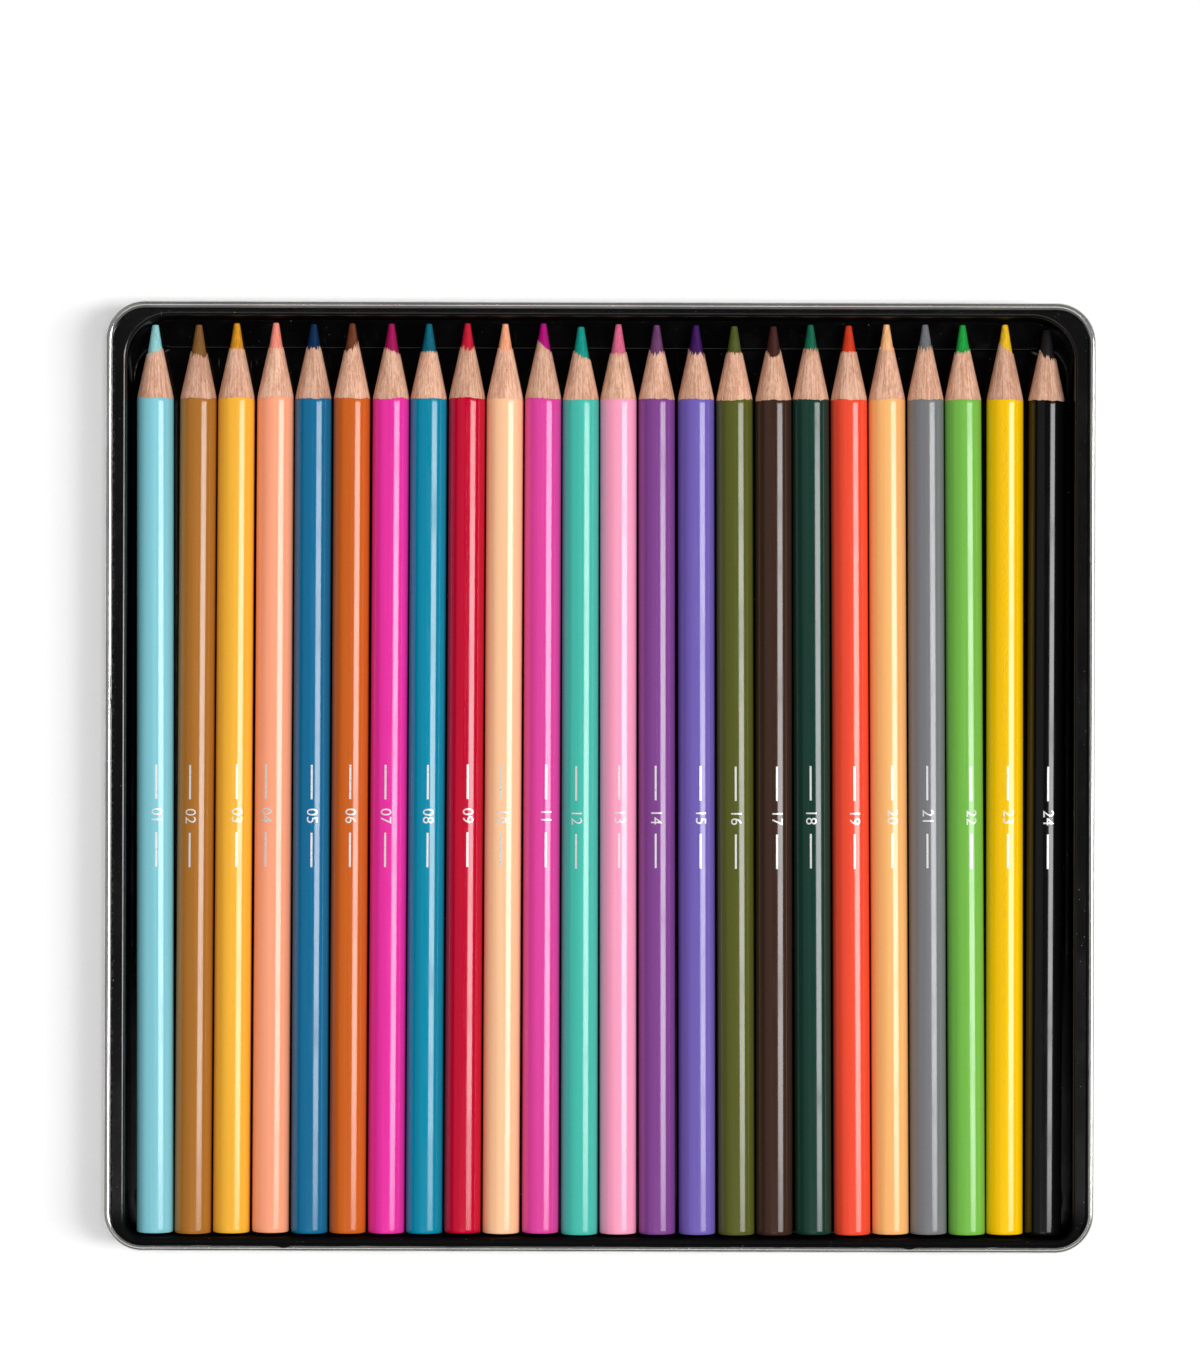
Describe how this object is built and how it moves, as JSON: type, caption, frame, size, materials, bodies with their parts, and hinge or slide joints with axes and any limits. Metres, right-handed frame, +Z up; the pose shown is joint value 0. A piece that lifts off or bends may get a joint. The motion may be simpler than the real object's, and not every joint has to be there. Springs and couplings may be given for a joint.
{
  "type": "coloured pencil tin",
  "caption": "Open flat rounded tinplate box with a curled rim, holding a formed black tray and a row of round sharpened coloured pencils that lift out.",
  "frame": {"origin": "middle of the underside of the tin, on the surface it stands on", "axes": "+X across the row of pencils, +Y along the pencils towards their points, +Z up out of the tin"},
  "size_m": [0.189, 0.1816, 0.012],
  "materials": {
    "tinplate": "satin",
    "black_plastic": "gloss",
    "sky_blue_lacquer": "gloss",
    "sky_blue_pigment": "matte",
    "ochre_lacquer": "gloss",
    "ochre_pigment": "matte",
    "golden_yellow_lacquer": "gloss",
    "golden_yellow_pigment": "matte",
    "salmon_lacquer": "gloss",
    "salmon_pigment": "matte",
    "ocean_blue_lacquer": "gloss",
    "ocean_blue_pigment": "matte",
    "burnt_orange_lacquer": "gloss",
    "burnt_orange_pigment": "matte",
    "magenta_lacquer": "gloss",
    "magenta_pigment": "matte",
    "teal_lacquer": "gloss",
    "teal_pigment": "matte",
    "crimson_lacquer": "gloss",
    "crimson_pigment": "matte",
    "peach_lacquer": "gloss",
    "peach_pigment": "matte",
    "orchid_lacquer": "gloss",
    "orchid_pigment": "matte",
    "mint_lacquer": "gloss",
    "mint_pigment": "matte",
    "pink_lacquer": "gloss",
    "pink_pigment": "matte",
    "purple_lacquer": "gloss",
    "purple_pigment": "matte",
    "violet_lacquer": "gloss",
    "violet_pigment": "matte",
    "olive_lacquer": "gloss",
    "olive_pigment": "matte",
    "dark_brown_lacquer": "gloss",
    "dark_brown_pigment": "matte",
    "dark_green_lacquer": "gloss",
    "dark_green_pigment": "matte",
    "vermilion_lacquer": "gloss",
    "vermilion_pigment": "matte",
    "apricot_lacquer": "gloss",
    "apricot_pigment": "matte",
    "grey_lacquer": "gloss",
    "grey_pigment": "matte",
    "leaf_green_lacquer": "gloss",
    "leaf_green_pigment": "matte",
    "yellow_lacquer": "gloss",
    "yellow_pigment": "matte",
    "black_lacquer": "gloss",
    "black_pigment": "matte"
  },
  "bodies": {
    "tin": {"tin_box": "tinplate"},
    "tray": {"pencil_tray": "black_plastic"},
    "sky_blue_pencil": {"sky_blue_barrel": "sky_blue_lacquer", "sky_blue_core": "sky_blue_pigment"},
    "ochre_pencil": {"ochre_barrel": "ochre_lacquer", "ochre_core": "ochre_pigment"},
    "golden_yellow_pencil": {"golden_yellow_barrel": "golden_yellow_lacquer", "golden_yellow_core": "golden_yellow_pigment"},
    "salmon_pencil": {"salmon_barrel": "salmon_lacquer", "salmon_core": "salmon_pigment"},
    "ocean_blue_pencil": {"ocean_blue_barrel": "ocean_blue_lacquer", "ocean_blue_core": "ocean_blue_pigment"},
    "burnt_orange_pencil": {"burnt_orange_barrel": "burnt_orange_lacquer", "burnt_orange_core": "burnt_orange_pigment"},
    "magenta_pencil": {"magenta_barrel": "magenta_lacquer", "magenta_core": "magenta_pigment"},
    "teal_pencil": {"teal_barrel": "teal_lacquer", "teal_core": "teal_pigment"},
    "crimson_pencil": {"crimson_barrel": "crimson_lacquer", "crimson_core": "crimson_pigment"},
    "peach_pencil": {"peach_barrel": "peach_lacquer", "peach_core": "peach_pigment"},
    "orchid_pencil": {"orchid_barrel": "orchid_lacquer", "orchid_core": "orchid_pigment"},
    "mint_pencil": {"mint_barrel": "mint_lacquer", "mint_core": "mint_pigment"},
    "pink_pencil": {"pink_barrel": "pink_lacquer", "pink_core": "pink_pigment"},
    "purple_pencil": {"purple_barrel": "purple_lacquer", "purple_core": "purple_pigment"},
    "violet_pencil": {"violet_barrel": "violet_lacquer", "violet_core": "violet_pigment"},
    "olive_pencil": {"olive_barrel": "olive_lacquer", "olive_core": "olive_pigment"},
    "dark_brown_pencil": {"dark_brown_barrel": "dark_brown_lacquer", "dark_brown_core": "dark_brown_pigment"},
    "dark_green_pencil": {"dark_green_barrel": "dark_green_lacquer", "dark_green_core": "dark_green_pigment"},
    "vermilion_pencil": {"vermilion_barrel": "vermilion_lacquer", "vermilion_core": "vermilion_pigment"},
    "apricot_pencil": {"apricot_barrel": "apricot_lacquer", "apricot_core": "apricot_pigment"},
    "grey_pencil": {"grey_barrel": "grey_lacquer", "grey_core": "grey_pigment"},
    "leaf_green_pencil": {"leaf_green_barrel": "leaf_green_lacquer", "leaf_green_core": "leaf_green_pigment"},
    "yellow_pencil": {"yellow_barrel": "yellow_lacquer", "yellow_core": "yellow_pigment"},
    "black_pencil": {"black_barrel": "black_lacquer", "black_core": "black_pigment"}
  },
  "joints": [
    {"name": "tray_lift", "type": "slide", "parent": "tin", "child": "tray", "axis": [0, 0, 1], "range_m": [0, 0.03]},
    {"name": "sky_blue_pencil_lift", "type": "slide", "parent": "tray", "child": "sky_blue_pencil", "axis": [0, 0, 1], "range_m": [0, 0.04]},
    {"name": "ochre_pencil_lift", "type": "slide", "parent": "tray", "child": "ochre_pencil", "axis": [0, 0, 1], "range_m": [0, 0.04]},
    {"name": "golden_yellow_pencil_lift", "type": "slide", "parent": "tray", "child": "golden_yellow_pencil", "axis": [0, 0, 1], "range_m": [0, 0.04]},
    {"name": "salmon_pencil_lift", "type": "slide", "parent": "tray", "child": "salmon_pencil", "axis": [0, 0, 1], "range_m": [0, 0.04]},
    {"name": "ocean_blue_pencil_lift", "type": "slide", "parent": "tray", "child": "ocean_blue_pencil", "axis": [0, 0, 1], "range_m": [0, 0.04]},
    {"name": "burnt_orange_pencil_lift", "type": "slide", "parent": "tray", "child": "burnt_orange_pencil", "axis": [0, 0, 1], "range_m": [0, 0.04]},
    {"name": "magenta_pencil_lift", "type": "slide", "parent": "tray", "child": "magenta_pencil", "axis": [0, 0, 1], "range_m": [0, 0.04]},
    {"name": "teal_pencil_lift", "type": "slide", "parent": "tray", "child": "teal_pencil", "axis": [0, 0, 1], "range_m": [0, 0.04]},
    {"name": "crimson_pencil_lift", "type": "slide", "parent": "tray", "child": "crimson_pencil", "axis": [0, 0, 1], "range_m": [0, 0.04]},
    {"name": "peach_pencil_lift", "type": "slide", "parent": "tray", "child": "peach_pencil", "axis": [0, 0, 1], "range_m": [0, 0.04]},
    {"name": "orchid_pencil_lift", "type": "slide", "parent": "tray", "child": "orchid_pencil", "axis": [0, 0, 1], "range_m": [0, 0.04]},
    {"name": "mint_pencil_lift", "type": "slide", "parent": "tray", "child": "mint_pencil", "axis": [0, 0, 1], "range_m": [0, 0.04]},
    {"name": "pink_pencil_lift", "type": "slide", "parent": "tray", "child": "pink_pencil", "axis": [0, 0, 1], "range_m": [0, 0.04]},
    {"name": "purple_pencil_lift", "type": "slide", "parent": "tray", "child": "purple_pencil", "axis": [0, 0, 1], "range_m": [0, 0.04]},
    {"name": "violet_pencil_lift", "type": "slide", "parent": "tray", "child": "violet_pencil", "axis": [0, 0, 1], "range_m": [0, 0.04]},
    {"name": "olive_pencil_lift", "type": "slide", "parent": "tray", "child": "olive_pencil", "axis": [0, 0, 1], "range_m": [0, 0.04]},
    {"name": "dark_brown_pencil_lift", "type": "slide", "parent": "tray", "child": "dark_brown_pencil", "axis": [0, 0, 1], "range_m": [0, 0.04]},
    {"name": "dark_green_pencil_lift", "type": "slide", "parent": "tray", "child": "dark_green_pencil", "axis": [0, 0, 1], "range_m": [0, 0.04]},
    {"name": "vermilion_pencil_lift", "type": "slide", "parent": "tray", "child": "vermilion_pencil", "axis": [0, 0, 1], "range_m": [0, 0.04]},
    {"name": "apricot_pencil_lift", "type": "slide", "parent": "tray", "child": "apricot_pencil", "axis": [0, 0, 1], "range_m": [0, 0.04]},
    {"name": "grey_pencil_lift", "type": "slide", "parent": "tray", "child": "grey_pencil", "axis": [0, 0, 1], "range_m": [0, 0.04]},
    {"name": "leaf_green_pencil_lift", "type": "slide", "parent": "tray", "child": "leaf_green_pencil", "axis": [0, 0, 1], "range_m": [0, 0.04]},
    {"name": "yellow_pencil_lift", "type": "slide", "parent": "tray", "child": "yellow_pencil", "axis": [0, 0, 1], "range_m": [0, 0.04]},
    {"name": "black_pencil_lift", "type": "slide", "parent": "tray", "child": "black_pencil", "axis": [0, 0, 1], "range_m": [0, 0.04]}
  ]
}
